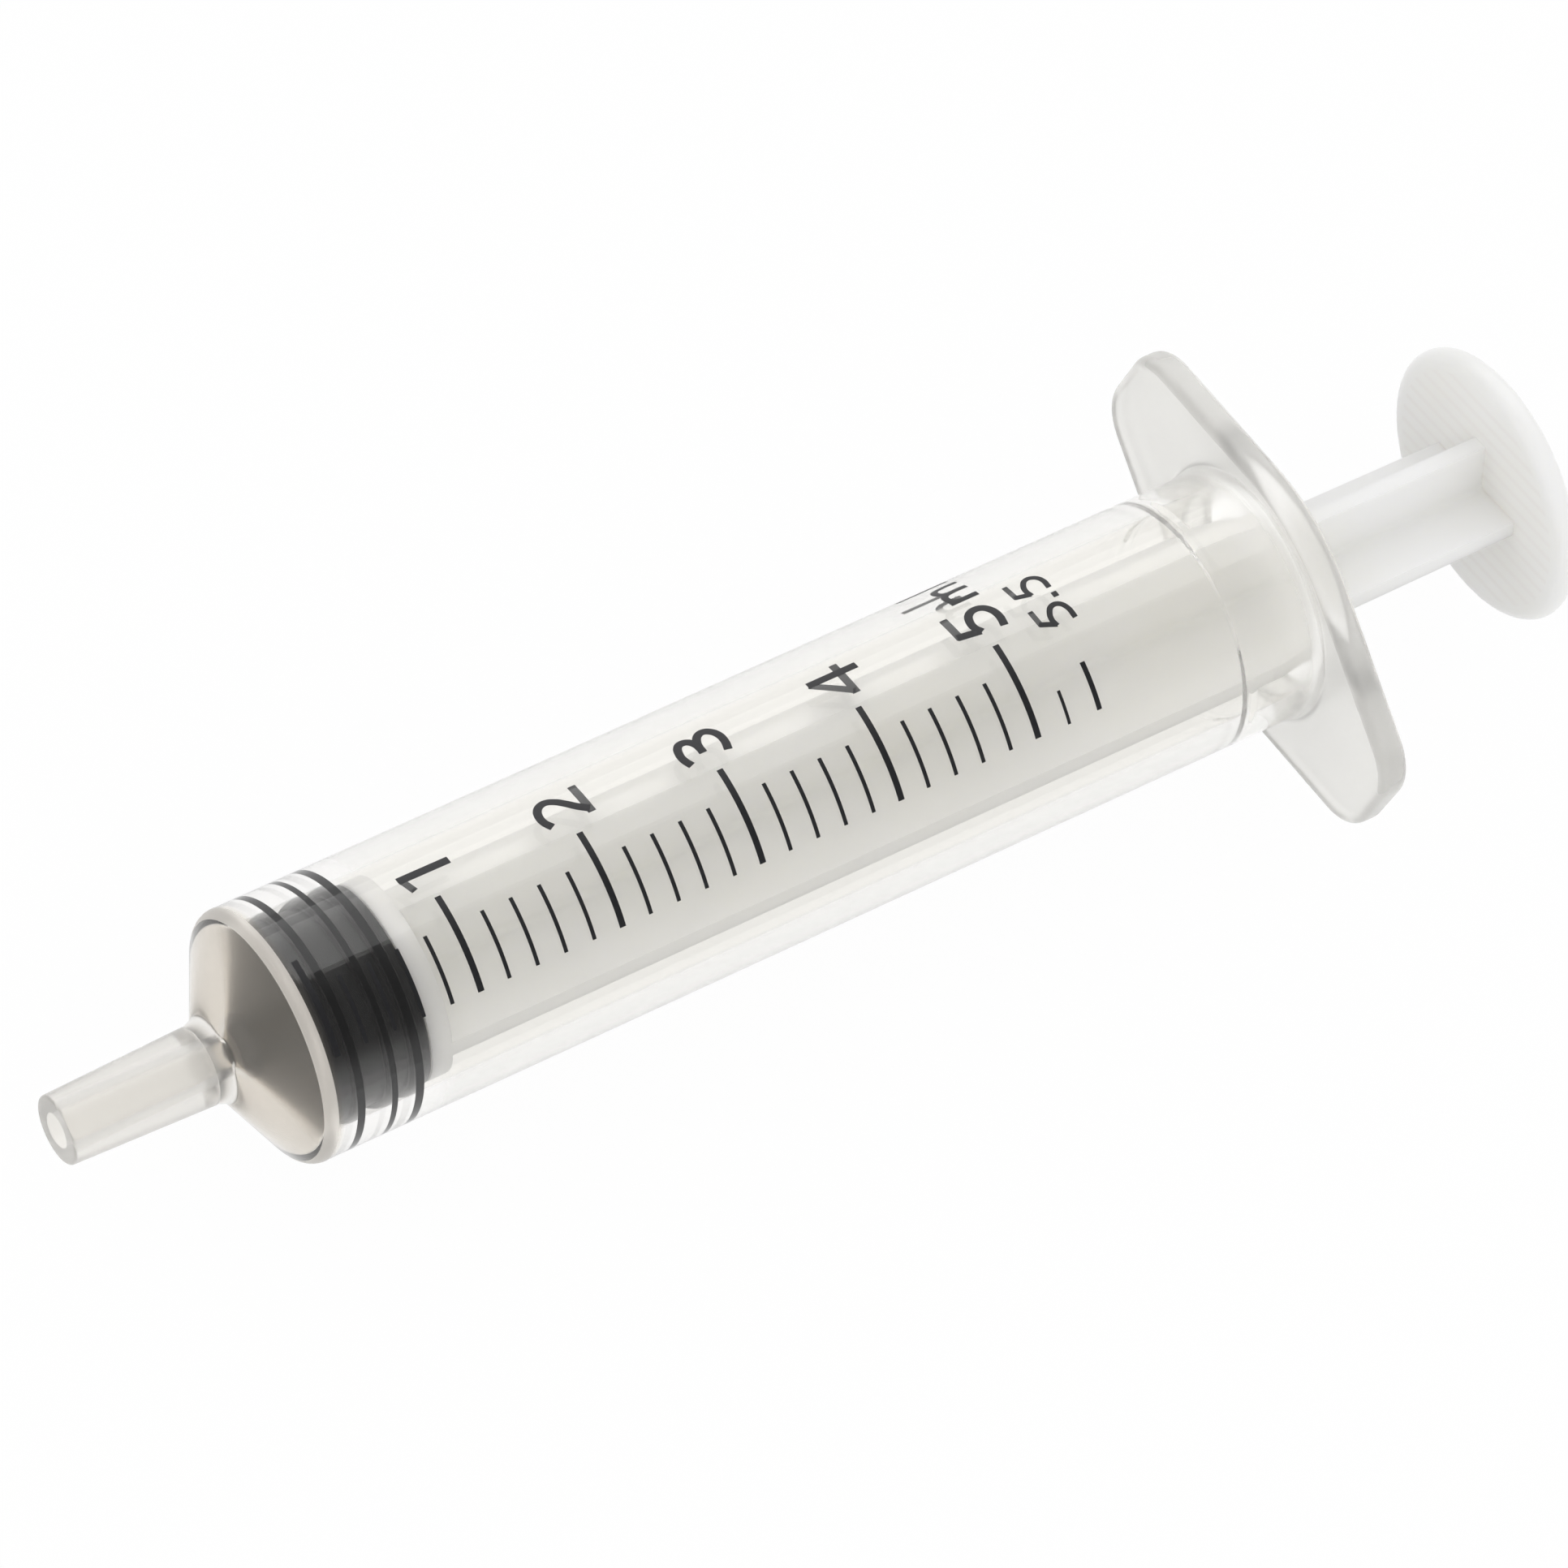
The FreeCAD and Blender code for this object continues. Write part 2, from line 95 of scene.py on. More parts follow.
# Clear polypropylene, injection moulded: polished on the tube, a little matt and warm on the
# shoulder, and frosted on the nozzle and flange, where it looks faintly milky.
clearPlastic = {
    "ior": 1.49,
    "length": 76.8,
    # place along the barrel in mm, roughness, share of light let through, colour
    "finish": [
        (0.0, 0.22, 0.78, "#F1EFEB"), (9.3, 0.22, 0.78, "#F1EFEB"),
        (9.6, 0.12, 0.955, "#E3DCD1"), (12.95, 0.12, 0.955, "#E3DCD1"),
        (13.1, 0.03, 0.993, "#FCFBF9"), (19.6, 0.03, 0.993, "#FCFBF9"),
        (20.6, 0.05, 0.94, "#FBFAF7"), (72.4, 0.05, 0.94, "#FBFAF7"),
        (74.3, 0.18, 0.84, "#FAF9F6"), (75.0, 0.25, 0.72, "#FAF9F6"), (76.8, 0.25, 0.72, "#FAF9F6")],
    "edgeFinish": [(0.0, 0.35, 0.5, "#F6F0E7"), (76.8, 0.35, 0.5, "#F6F0E7")],
    "ripple": 9.0,
    "rippleHeight": 0.001,
    "rippleStrength": 0.3,
}


def addRamp(tree, factor, stops):
    # A new ramp has its two ends, at 0 and 1; the stops between them are added in order.
    ramp = addNode(tree, "ShaderNodeValToRGB", links={"Fac": factor})
    for place, _ in stops[1:-1]:
        ramp.color_ramp.elements.new(place)
    for element, (_, colour) in zip(ramp.color_ramp.elements, stops):
        element.color = colour
    return ramp.outputs["Color"]


def makeClearPlastic(name, values, stations):
    material, tree = newMaterial(name)
    place = addNode(tree, "ShaderNodeTexCoord").outputs["Object"]
    along = addNode(tree, "ShaderNodeSeparateXYZ", links={"Vector": place}).outputs["X"]
    share = addNode(tree, "ShaderNodeMapRange", {"From Max": values["length"] * mm}, {"Value": along})
    stops = [(x / values["length"], (rough, through, 0, 1)) for x, rough, through, _ in stations]
    finish = addNode(tree, "ShaderNodeSeparateColor",
                     links={"Color": addRamp(tree, share.outputs["Result"], stops)})
    stops = [(x / values["length"], fromHex(colour)) for x, _, _, colour in stations]
    tint = addRamp(tree, share.outputs["Result"], stops)
    ripple = addNode(tree, "ShaderNodeTexNoise",
                     {"Scale": 1000 / values["ripple"], "Detail": 2.0}, {"Vector": place})
    bump = addNode(tree, "ShaderNodeBump",
                   {"Strength": values["rippleStrength"], "Distance": values["rippleHeight"] * mm},
                   {"Height": ripple.outputs["Fac"]})
    surface = addNode(tree, "ShaderNodeBsdfPrincipled", {"IOR": values["ior"]},
                      {"Base Color": tint, "Roughness": finish.outputs["Red"],
                       "Transmission Weight": finish.outputs["Green"], "Normal": bump.outputs["Normal"]})
    finishMaterial(tree, surface.outputs["BSDF"])
    return material


# Milky polypropylene, injection moulded: white, lets light through, satin sheen.
milkyPlastic = {
    "colour": "#FAF9F7",
    "thick": "#F4F3F0",
    "roughness": 0.3,
    "ior": 1.49,
    "seeThrough": 0.1,
    "scatter": 1.0,
    "scatterReach": 1.2,
    "scatterTint": (1.0, 1.0, 0.95),
    "cloud": 6.0,
}
# Painted shade: faint darker lines in the thumb rest's colour, where the grooves on its rear face would show
# through it.
paintedGrooveShade = {
    "colour": "#F4F2F0",
    "pitch": 0.95,
    "shift": 6.175,
    "turn": 25.1,
    "from": 90.35,
    "within": 7.0,
}


def mixColours(tree, factor, first, second):
    mixed = addNode(tree, "ShaderNodeMix", {"data_type": "RGBA"}, {"Factor": factor})
    for socket, colour in ((mixed.inputs[6], first), (mixed.inputs[7], second)):
        if isinstance(colour, str):
            socket.default_value = fromHex(colour)
        else:
            tree.links.new(colour, socket)
    return mixed.outputs[2]


def makePaintedGrooveShade(tree, place, values):
    # 1 on the middle of each painted shade line, 0 between the lines and on everything but the thumb rest.
    parts = addNode(tree, "ShaderNodeSeparateXYZ", links={"Vector": place}).outputs
    turn = math.radians(values["turn"])
    over = mathNode(tree, "ADD", mathNode(tree, "MULTIPLY", parts["Y"], math.sin(turn)),
                    mathNode(tree, "MULTIPLY", parts["Z"], math.cos(turn)))
    beat = mathNode(tree, "MULTIPLY", mathNode(tree, "ADD", over, values["shift"] * mm),
                    2 * math.pi / (values["pitch"] * mm))
    wave = mathNode(tree, "MAXIMUM", mathNode(tree, "COSINE", beat))
    squares = [mathNode(tree, "MULTIPLY", parts[axis], parts[axis]) for axis in "YZ"]
    reach = mathNode(tree, "SQRT", mathNode(tree, "ADD", *squares))
    onRest = mathNode(tree, "MULTIPLY",
                      mathNode(tree, "GREATER_THAN", parts["X"], values["from"] * mm),
                      mathNode(tree, "LESS_THAN", reach, values["within"] * mm))
    return mathNode(tree, "MULTIPLY", wave, onRest)


def makeMilkyPlasticAndGrooveShade(values, grooveShade):
    material, tree = newMaterial("milky_polypropylene_painted_groove_shade")
    place = addNode(tree, "ShaderNodeTexCoord").outputs["Object"]
    cloud = addNode(tree, "ShaderNodeTexNoise",
                    {"Scale": 1000 / values["cloud"], "Detail": 1.0}, {"Vector": place})
    plain = mixColours(tree, cloud.outputs["Fac"], values["colour"], values["thick"])
    # The thumb rest's colour is darkened in lines: painted shade of the rear face's grooves.
    withGrooveShade = mixColours(tree, makePaintedGrooveShade(tree, place, grooveShade), plain, grooveShade["colour"])
    surface = addNode(tree, "ShaderNodeBsdfPrincipled",
                      {"Roughness": values["roughness"], "IOR": values["ior"],
                       "Transmission Weight": values["seeThrough"],
                       "Subsurface Weight": values["scatter"],
                       "Subsurface Radius": values["scatterTint"],
                       "Subsurface Scale": values["scatterReach"] * mm},
                      {"Base Color": withGrooveShade})
    finishMaterial(tree, surface.outputs["BSDF"])
    return material


# Black butyl rubber, compression moulded: near black with a dull, slightly uneven sheen.
blackRubber = {
    "colour": "#0E0E10",
    "worn": "#151517",
    "roughness": 0.36,
    "ior": 1.52,
    "sheen": 0.3,
    "grain": 0.25,
    "grainHeight": 0.02,
    "grainStrength": 0.3,
}


def makeBlackRubber(values):
    material, tree = newMaterial("black_butyl_rubber_moulded")
    place = addNode(tree, "ShaderNodeTexCoord").outputs["Object"]
    grain = addNode(tree, "ShaderNodeTexNoise",
                    {"Scale": 1000 / values["grain"], "Detail": 3.0}, {"Vector": place})
    bump = addNode(tree, "ShaderNodeBump",
                   {"Strength": values["grainStrength"], "Distance": values["grainHeight"] * mm},
                   {"Height": grain.outputs["Fac"]})
    colour = mixColours(tree, grain.outputs["Fac"], values["colour"], values["worn"])
    surface = addNode(tree, "ShaderNodeBsdfPrincipled",
                      {"Roughness": values["roughness"], "IOR": values["ior"],
                       "Specular IOR Level": values["sheen"]},
                      {"Base Color": colour, "Normal": bump.outputs["Normal"]})
    finishMaterial(tree, surface.outputs["BSDF"])
    return material


# Screen-printed ink: opaque black film with a soft gloss and slightly uneven cover.
printInk = {
    "colour": "#17171A",
    "thin": "#2A2A2E",
    "roughness": 0.42,
    "grain": 0.18,
}


def makePrintInk(values):
    material, tree = newMaterial("black_ink_screen_printed")
    place = addNode(tree, "ShaderNodeTexCoord").outputs["Object"]
    cover = addNode(tree, "ShaderNodeTexNoise",
                    {"Scale": 1000 / values["grain"], "Detail": 2.0}, {"Vector": place})
    colour = mixColours(tree, cover.outputs["Fac"], values["colour"], values["thin"])
    surface = addNode(tree, "ShaderNodeBsdfPrincipled", {"Roughness": values["roughness"]},
                      {"Base Color": colour})
    finishMaterial(tree, surface.outputs["BSDF"])
    return material


def dress(nodeName, material):
    for slot in bpy.data.objects[nodeName].material_slots:
        slot.material = material


dress("plunger", makeMilkyPlasticAndGrooveShade(milkyPlastic, paintedGrooveShade))
print("plunger dressed")


# Barrel as moulded, finer than the CAD mesh: every edge has its small radius, and the flange's rim
# is rounded. A corner is x, radius and, where it is rounded, the size of the rounding.
barrelShape = {
    "segments": 360,
    "section": [
        (0, 1.98, 0.15), (8.6, 2.238), (8.6, 2.158), (9.5, 2.5, 0.3), (12.352, 7.265, 0.8),
        (75.0, 7.265, 0.6), (75.0, 20.0, 0.6), (76.8, 20.0, 0.6), (76.8, 6.6, 0.2), (74.5, 6.03, 1.5),
        (71.25, 6.03, 0.3), (70.95, 5.89, 0.3), (70.65, 5.89, 0.3), (70.35, 6.03, 0.3),
        (13.052, 6.03, 0.1), (10.886, 0.8, 0.1), (0, 1.0, 0.1)],
    "rimRadius": 20.0,
    "rimRound": 0.6,
    "arc": 10.0,
    "halfWidth": 8.85,
    "lean": 23.0,
    "reach": 13.95,
    "corner": 3.2,
    # the shoulder's rounded edge, which the mould leaves matt
    "mattFrom": 12.0,
    "mattTo": 12.95,
    "mattOutside": 6.5,
    "mattSlot": 1,
}
# Gasket as the bore squeezes it: its three ribs are pressed flat against the wall, with no air between.
gasketShape = {
    "segments": 180,
    "section": [
        (11.13, 0), (11.13, 1.1, 0.4), (13.302, 5.72, 0.15), (14.252, 5.72, 0.05),
        (14.252, 6.04, 0.08), (14.802, 6.04, 0.08), (14.802, 5.58, 0.1), (16.352, 5.58, 0.1),
        (16.352, 6.04, 0.08), (16.802, 6.04, 0.08), (16.802, 5.58, 0.1), (17.802, 5.58, 0.1),
        (17.802, 6.04, 0.08), (18.402, 6.04, 0.08), (18.402, 5.72, 0.05), (19.102, 5.72, 0.15),
        (19.102, 2.38, 0.1), (16.732, 2.38, 0.05), (16.732, 3.58), (16.072, 3.58), (14.622, 2.48),
        (14.622, 0)],
}


def roundSection(corners):
    # Each corner that names a size becomes an arc of that radius, in steps of about 15 degrees.
    points = []
    for i, corner in enumerate(corners):
        if len(corner) == 2:
            points.append(corner)
            continue
        x, y, size = corner
        before, after = corners[i - 1], corners[(i + 1) % len(corners)]
        first = math.atan2(before[1] - y, before[0] - x)
        second = math.atan2(after[1] - y, after[0] - x)
        opening = (second - first + math.pi) % (2 * math.pi) - math.pi
        turn = math.copysign(math.pi, opening) - opening
        middle = first + opening / 2
        away = size / math.sin(abs(opening) / 2)
        centre = (x + away * math.cos(middle), y + away * math.sin(middle))
        steps = max(2, math.ceil(abs(turn) / math.radians(15)))
        start = middle + math.pi + turn / 2
        for k in range(steps + 1):
            angle = start - turn * k / steps
            points.append((centre[0] + size * math.cos(angle), centre[1] + size * math.sin(angle)))
    return points


def spinSection(name, values):
    bpy.ops.object.select_all(action="DESELECT")
    bpy.ops.curve.primitive_bezier_curve_add()
    turned = bpy.context.object
    turned.name = name
    turned.data.splines.clear()
    points = roundSection(values["section"])
    line = turned.data.splines.new("POLY")
    line.points.add(len(points) - 1)
    for knot, (x, radius) in zip(line.points, points):
        knot.co = (x * mm, 0, radius * mm, 1)
    line.use_cyclic_u = points[0][1] > 0
    bpy.ops.object.convert(target="MESH")
    turn = turned.modifiers.new("turn", "SCREW")
    turn.axis = "X"
    turn.steps = values["segments"]
    turn.render_steps = values["segments"]
    turn.use_merge_vertices = True
    turn.merge_threshold = 0.000001
    bpy.ops.object.modifier_apply(modifier="turn")
    bpy.ops.object.mode_set(mode="EDIT")
    bpy.ops.mesh.select_all(action="SELECT")
    bpy.ops.mesh.remove_doubles(threshold=0.000001)
    bpy.ops.mesh.normals_make_consistent(inside=False)
    bpy.ops.object.mode_set(mode="OBJECT")
    return turned


def smoothPiece(piece, degrees):
    bpy.ops.object.shade_smooth_by_angle(angle=math.radians(degrees))
    # Flat faces keep their own normal right up to the small roundings beside them.
    even = piece.modifiers.new("even", "WEIGHTED_NORMAL")
    even.keep_sharp = True
    bpy.ops.object.modifier_apply(modifier="even")


def rimAt(angle, values):
    # Point and outward normal of the flange's outline in a direction from +Z towards +Y, one quarter.
    across, up = math.sin(angle), math.cos(angle)
    lean = math.radians(values["lean"])
    arc = values["arc"]
    arcUp = values["halfWidth"] - arc
    touch = (arc * math.sin(lean), arcUp + arc * math.cos(lean))
    reach = arcUp * up + math.sqrt(arc ** 2 - (arcUp * across) ** 2)
    if reach * across <= touch[0]:
        return reach * across, reach * up, reach * across / arc, (reach * up - arcUp) / arc
    size = values["corner"]
    centreAcross = values["reach"] - size
    centreUp = (touch[1] - (centreAcross - touch[0]) * math.tan(lean)) - size / math.cos(lean)
    cornerFrom = (centreAcross + size * math.sin(lean), centreUp + size * math.cos(lean))
    if angle < math.atan2(cornerFrom[0], cornerFrom[1]):
        reach = (touch[1] + touch[0] * math.tan(lean)) / (up + across * math.tan(lean))
        return reach * across, reach * up, math.sin(lean), math.cos(lean)
    if angle < math.atan2(values["reach"], centreUp):
        along = centreAcross * across + centreUp * up
        reach = along + math.sqrt(along ** 2 - centreAcross ** 2 - centreUp ** 2 + size ** 2)
        return (reach * across, reach * up, (reach * across - centreAcross) / size,
                (reach * up - centreUp) / size)
    reach = values["reach"] / across
    return values["reach"], reach * up, 1.0, 0.0


def shapeFlange(mesh, values):
    # The spun flange is a round plate: its rim is moved onto the real outline, inset by inset.
    for point in mesh.vertices:
        radius = math.hypot(point.co.y, point.co.z) / mm
        if radius < values["rimRadius"] - values["rimRound"] - 0.001:
            continue
        inset = values["rimRadius"] - radius
        angle = math.atan2(abs(point.co.y), abs(point.co.z))
        across, up, outAcross, outUp = rimAt(angle, values)
        point.co.y = math.copysign((across - inset * outAcross) * mm, point.co.y)
        point.co.z = math.copysign((up - inset * outUp) * mm, point.co.z)


def frostEdge(mesh, values):
    for face in mesh.polygons:
        radius = math.hypot(face.center.y, face.center.z)
        inBand = values["mattFrom"] * mm < face.center.x < values["mattTo"] * mm
        if inBand and radius > values["mattOutside"] * mm:
            face.material_index = values["mattSlot"]


barrelPiece = spinSection("barrel_moulded", barrelShape)
shapeFlange(barrelPiece.data, barrelShape)
smoothPiece(barrelPiece, 35)
barrelPiece.data.materials.append(
    makeClearPlastic("clear_polypropylene_moulded", clearPlastic, clearPlastic["finish"]))
barrelPiece.data.materials.append(
    makeClearPlastic("frosted_polypropylene_moulded", clearPlastic, clearPlastic["edgeFinish"]))
frostEdge(barrelPiece.data, barrelShape)
barrelPiece.visible_shadow = False  # clear plastic lets the light in on what stands inside
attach(barrelPiece, "barrel")
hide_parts("barrel")
gasketPiece = spinSection("gasket_in_bore", gasketShape)
smoothPiece(gasketPiece, 40)
gasketPiece.data.materials.append(makeBlackRubber(blackRubber))
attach(gasketPiece, "gasket")
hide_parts("gasket")
print("barrel and gasket turned")


# Printed scale. Flat places are x along the barrel and s round it, from the top towards +Y, in mm.
printScale = {
    "radius": 7.265,
    "film": 0.02,
    "shift": -0.27,
    "zero": 13.4,
    "perMillilitre": 8.754,
    "fifths": 25,
    "fineTick": (0.23, -3.82, 0.06),
    "wholeTick": (0.37, -3.84, 1.76),
    "loneTicks": ((59.17, 0.19, -3.85, -1.92), (61.12, 0.30, -3.80, -1.04)),
}
# Each stroke is a width, whether it is curved, and the points of its centre line.
printStrokes = {
    "one": [
        (0.5, False, [(20.82, 3.58), (23.95, 3.55)]),
        (0.42, False, [(21.0, 3.6), (21.3, 2.6)]),
    ],
    "two": [
        (0.48, True, [(29.85, 2.7), (29.6, 3.2), (29.62, 3.8), (29.85, 4.2), (30.15, 4.38), (30.45, 4.4),
                      (30.85, 4.2), (31.3, 3.75), (31.75, 3.25), (32.25, 2.85)]),
        (0.48, False, [(32.25, 2.6), (32.25, 4.75)]),
    ],
    "three": [
        (0.48, True, [(38.5, 2.65), (38.3, 3.2), (38.35, 3.75), (38.55, 4.15), (38.82, 4.28), (39.15, 4.2),
                      (39.42, 3.85), (39.5, 3.4), (39.5, 3.1)]),
        (0.48, True, [(39.48, 3.4), (39.62, 3.95), (39.95, 4.35), (40.3, 4.42), (40.65, 4.2), (40.87, 3.8),
                      (40.92, 3.25), (40.78, 2.65)]),
    ],
    "four": [
        (0.48, False, [(46.85, 4.33), (49.95, 4.33)]),
        (0.44, False, [(46.9, 4.3), (48.9, 2.75)]),
        (0.48, False, [(48.88, 2.6), (48.88, 5.05)]),
    ],
    "five": [
        (0.48, False, [(55.72, 4.7), (55.75, 2.95)]),
        (0.46, False, [(55.6, 3.12), (57.0, 2.92)]),
        (0.48, True, [(57.05, 2.85), (56.82, 3.3), (56.87, 3.85), (57.15, 4.3), (57.55, 4.46), (57.95, 4.38),
                      (58.3, 4.0), (58.45, 3.4), (58.35, 2.65)]),
    ],
    "litreMark": [
        (0.42, False, [(56.85, 5.68), (58.6, 5.68)]),
        (0.42, True, [(58.6, 6.85), (57.6, 6.85), (57.15, 6.7), (57.0, 6.35), (57.1, 5.95), (57.4, 5.7)]),
        (0.42, True, [(58.6, 8.0), (57.6, 8.0), (57.15, 7.85), (57.0, 7.5), (57.1, 7.1), (57.4, 6.87)]),
        (0.44, False, [(55.45, 9.15), (58.6, 9.15)]),
    ],
    "half": [
        (0.33, False, [(60.03, 2.75), (60.1, 1.7)]),
        (0.33, False, [(60.02, 1.8), (60.95, 1.4)]),
        (0.33, True, [(60.9, 1.33), (60.82, 1.75), (60.98, 2.25), (61.3, 2.54), (61.7, 2.5), (62.0, 2.1),
                      (62.08, 1.35)]),
        (0.33, False, [(59.93, 5.1), (59.95, 3.92)]),
        (0.33, False, [(59.87, 4.02), (60.8, 3.77)]),
        (0.33, True, [(60.78, 3.68), (60.7, 4.15), (60.87, 4.65), (61.2, 4.95), (61.6, 4.9), (61.92, 4.5),
                      (61.93, 3.72)]),
        (0.38, False, [(61.75, 3.15), (62.09, 3.15)]),
    ],
}


def addTick(x, width, low, high):
    bpy.ops.object.select_all(action="DESELECT")
    bpy.ops.mesh.primitive_grid_add(x_subdivisions=1, y_subdivisions=12, size=1,
                                    location=(x * mm, (low + high) / 2 * mm, 0))
    bpy.ops.transform.resize(value=(width * mm, (high - low) * mm, 1))
    bpy.ops.object.transform_apply(location=True, rotation=False, scale=True)
    tick = bpy.context.object
    solid = tick.modifiers.new("film", "SOLIDIFY")
    solid.thickness = printScale["film"] * mm
    solid.offset = 1
    bpy.ops.object.modifier_apply(modifier="film")
    return tick


def addStroke(width, curved, points):
    bpy.ops.object.select_all(action="DESELECT")
    bpy.ops.curve.primitive_bezier_curve_add()
    stroke = bpy.context.object
    line = stroke.data
    line.splines.clear()
    spline = line.splines.new("BEZIER")
    spline.bezier_points.add(len(points) - 1)
    for knot, (x, s) in zip(spline.bezier_points, points):
        knot.co = (x * mm, s * mm, 0)
        knot.handle_left_type = "AUTO" if curved else "VECTOR"
        knot.handle_right_type = "AUTO" if curved else "VECTOR"
    spline.resolution_u = 4 if curved else 3
    line.dimensions = "3D"
    line.bevel_depth = width / 2 * mm
    line.bevel_resolution = 1
    line.use_fill_caps = True
    bpy.ops.object.convert(target="MESH")
    # The round stroke is flattened to a film that stands on the surface.
    bpy.ops.transform.resize(value=(1, 1, printScale["film"] / width), center_override=(0, 0, 0))
    bpy.ops.object.transform_apply(location=True, rotation=True, scale=True)
    return bpy.context.object


def wrapRound(mesh, radius, shift):
    # The flat print is laid round the barrel: x stays, s becomes an angle, height stands outwards.
    for point in mesh.vertices:
        x, s, height = point.co
        angle = (s + shift * mm) / (radius * mm)
        reach = radius * mm + height
        point.co = (x, reach * math.sin(angle), reach * math.cos(angle))


def makePrint(values, strokes):
    films = []
    for step in range(values["fifths"] + 1):
        width, low, high = values["wholeTick"] if step % 5 == 0 else values["fineTick"]
        films.append(addTick(values["zero"] + values["perMillilitre"] * step / 5, width, low, high))
    for x, width, low, high in values["loneTicks"]:
        films.append(addTick(x, width, low, high))
    for shape in strokes.values():
        for width, curved, points in shape:
            films.append(addStroke(width, curved, points))
    bpy.ops.object.select_all(action="DESELECT")
    for film in films:
        film.select_set(True)
    bpy.context.view_layer.objects.active = films[0]
    bpy.ops.object.join()
    printed = bpy.context.object
    printed.name = "scale_print"
    wrapRound(printed.data, values["radius"], values["shift"])
    bpy.ops.object.mode_set(mode="EDIT")
    bpy.ops.mesh.select_all(action="SELECT")
    bpy.ops.mesh.remove_doubles(threshold=0.000001)
    bpy.ops.mesh.normals_make_consistent(inside=False)
    bpy.ops.object.mode_set(mode="OBJECT")
    printed.data.materials.clear()
    printed.data.materials.append(makePrintInk(printInk))
    bpy.ops.object.shade_smooth_by_angle(angle=math.radians(40))
    return printed


scalePrint = makePrint(printScale, printStrokes)
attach(scalePrint, "barrel")
print("scale printed")


# Studio: pale table, an even sky that lights the piece, and one soft panel on the +Y side.
studio = {
    "table": "#F2F2F2",
    "tableSize": 6.0,
    "tableShade": 0.97,
    "panelAt": (0.21, 0.40, 0.34),
    "panelSize": (0.9, 0.58),
    "panelPower": 1.7,
    # what shows in sheens and through plastic, near the table and overhead
    "skyLow": 0.7,
    "skyHigh": 0.05,
    "fallFrom": 0.1,
    "fallTo": 0.6,
    # what lights the matte surfaces
    "skyFill": 1.0,
}


def seenDirectly(tree):
    # 1 for what the camera sees, also mirrored or through plastic; 0 for light on a matte surface.
    light = addNode(tree, "ShaderNodeLightPath").outputs
    seen = mathNode(tree, "MAXIMUM", light["Is Camera Ray"], light["Is Glossy Ray"])
    seen = mathNode(tree, "MAXIMUM", seen, light["Is Transmission Ray"])
    return mathNode(tree, "MULTIPLY", seen, mathNode(tree, "LESS_THAN", light["Diffuse Depth"], 0.5))


def makeTable(values):
    bpy.ops.object.select_all(action="DESELECT")
    bpy.ops.mesh.primitive_plane_add(size=values["tableSize"],
                                     location=(halfWay[0], halfWay[1], tableHeight))
    table = bpy.context.object
    table.name = "table"
    material, tree = newMaterial("white_table")
    share = mathNode(tree, "MULTIPLY", seenDirectly(tree), values["tableShade"])
    matte = addNode(tree, "ShaderNodeBsdfDiffuse", {"Color": fromHex(values["table"])})
    glow = addNode(tree, "ShaderNodeEmission", {"Color": (1, 1, 1, 1), "Strength": 1.0})
    both = addNode(tree, "ShaderNodeMixShader")
    tree.links.new(share, both.inputs[0])
    tree.links.new(matte.outputs[0], both.inputs[1])
    tree.links.new(glow.outputs[0], both.inputs[2])
    finishMaterial(tree, both.outputs[0])
    table.data.materials.append(material)
    return table


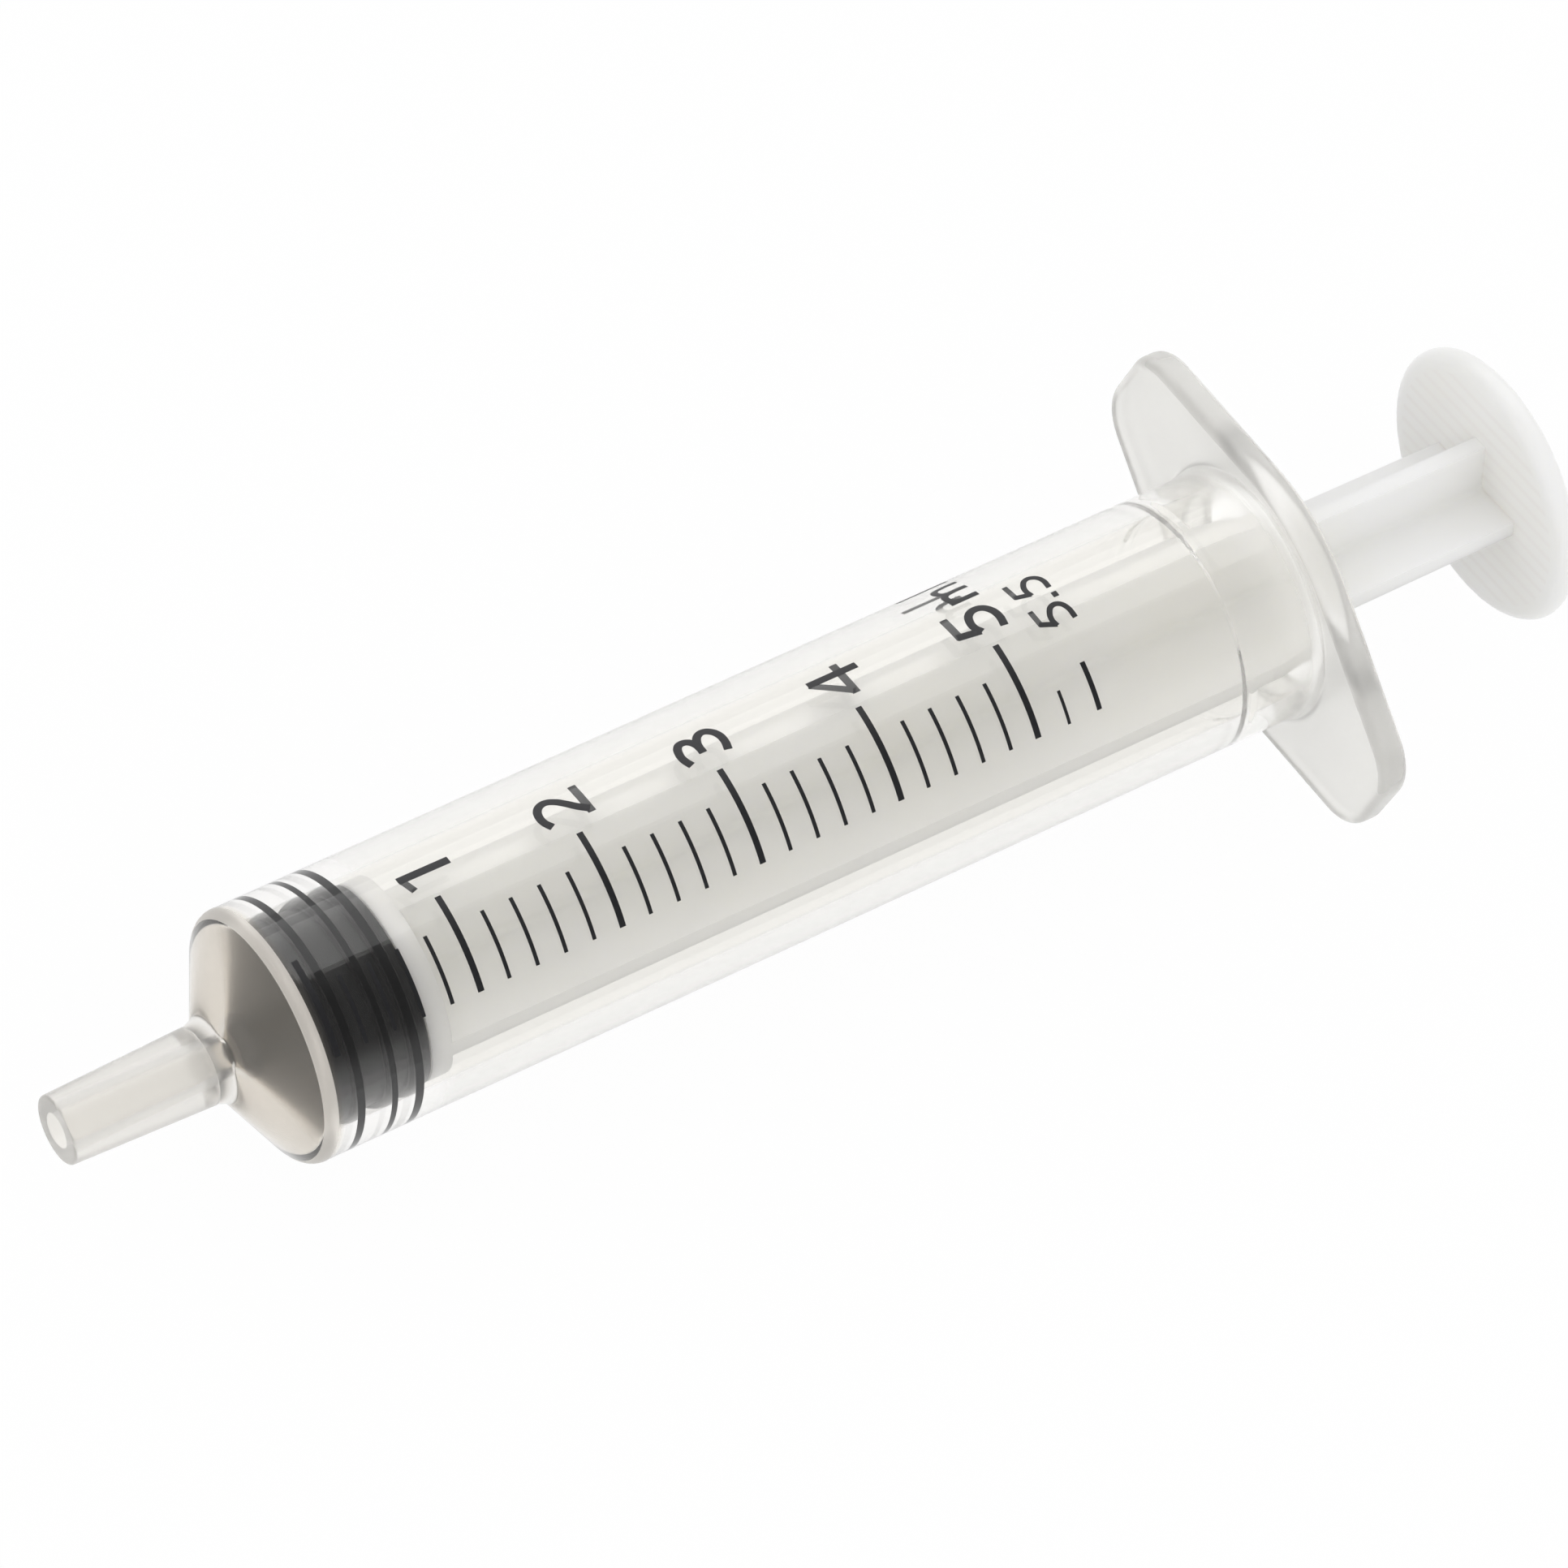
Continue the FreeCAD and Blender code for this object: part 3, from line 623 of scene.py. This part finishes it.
def makeSky(values):
    world = bpy.data.worlds.new("studio_sky")
    bpy.context.scene.world = world
    world.use_nodes = True
    tree = world.node_tree
    tree.nodes.clear()
    way = addNode(tree, "ShaderNodeTexCoord").outputs["Generated"]
    height = addNode(tree, "ShaderNodeSeparateXYZ", links={"Vector": way}).outputs["Z"]
    fall = addNode(tree, "ShaderNodeMapRange",
                   {"interpolation_type": "SMOOTHSTEP",
                    "From Min": values["fallFrom"], "From Max": values["fallTo"],
                    "To Min": values["skyLow"], "To Max": values["skyHigh"]}, {"Value": height})
    # The camera itself sees a white backdrop above the table.
    camera = addNode(tree, "ShaderNodeLightPath").outputs["Is Camera Ray"]
    strength = mathNode(tree, "MAXIMUM", fall.outputs["Result"], camera)
    shown = addNode(tree, "ShaderNodeBackground", {"Color": (1, 1, 1, 1)}, {"Strength": strength})
    fill = addNode(tree, "ShaderNodeBackground", {"Color": (1, 1, 1, 1), "Strength": values["skyFill"]})
    both = addNode(tree, "ShaderNodeMixShader")
    tree.links.new(seenDirectly(tree), both.inputs[0])
    tree.links.new(fill.outputs[0], both.inputs[1])
    tree.links.new(shown.outputs[0], both.inputs[2])
    addNode(tree, "ShaderNodeOutputWorld", links={"Surface": both.outputs[0]})


def makePanel(values):
    bpy.ops.object.light_add(type="AREA", location=values["panelAt"])
    lamp = bpy.context.object
    lamp.name = "side_panel"
    lamp.data.shape = "RECTANGLE"
    lamp.data.size, lamp.data.size_y = values["panelSize"]
    lamp.data.energy = values["panelPower"]
    lamp.visible_camera = False
    lamp.visible_diffuse = False  # it shows in sheens only, the sky does the lighting
    back = (lamp.location - Vector(halfWay)).normalized()
    lamp.rotation_euler = back.to_track_quat("Z", "Y").to_euler()
    return lamp


# Camera solved from the photograph: long lens, above the nozzle's side.
shot = {
    "lens": 256.02,
    "place": (-0.186492, -0.115557, 0.53857),
    "right": (0.83981742, -0.47727077, 0.25868767),
    "up": (0.37954881, 0.85690898, 0.34878318),
    "back": (-0.3881358, -0.1947296, 0.90079464),
}


def makeCamera(values):
    bpy.ops.object.camera_add(location=values["place"])
    camera = bpy.context.object
    camera.name = "photo_view"
    camera.data.sensor_fit = "HORIZONTAL"
    camera.data.sensor_width = 36
    camera.data.lens = values["lens"]
    camera.data.clip_start = 0.01
    camera.data.clip_end = 50
    turn = Matrix((values["right"], values["up"], values["back"])).transposed()
    camera.rotation_euler = turn.to_euler()
    bpy.context.scene.camera = camera
    return camera


makeTable(studio)
makeSky(studio)
makePanel(studio)
makeCamera(shot)
bpy.context.scene.view_settings.view_transform = "Standard"
print("studio set")
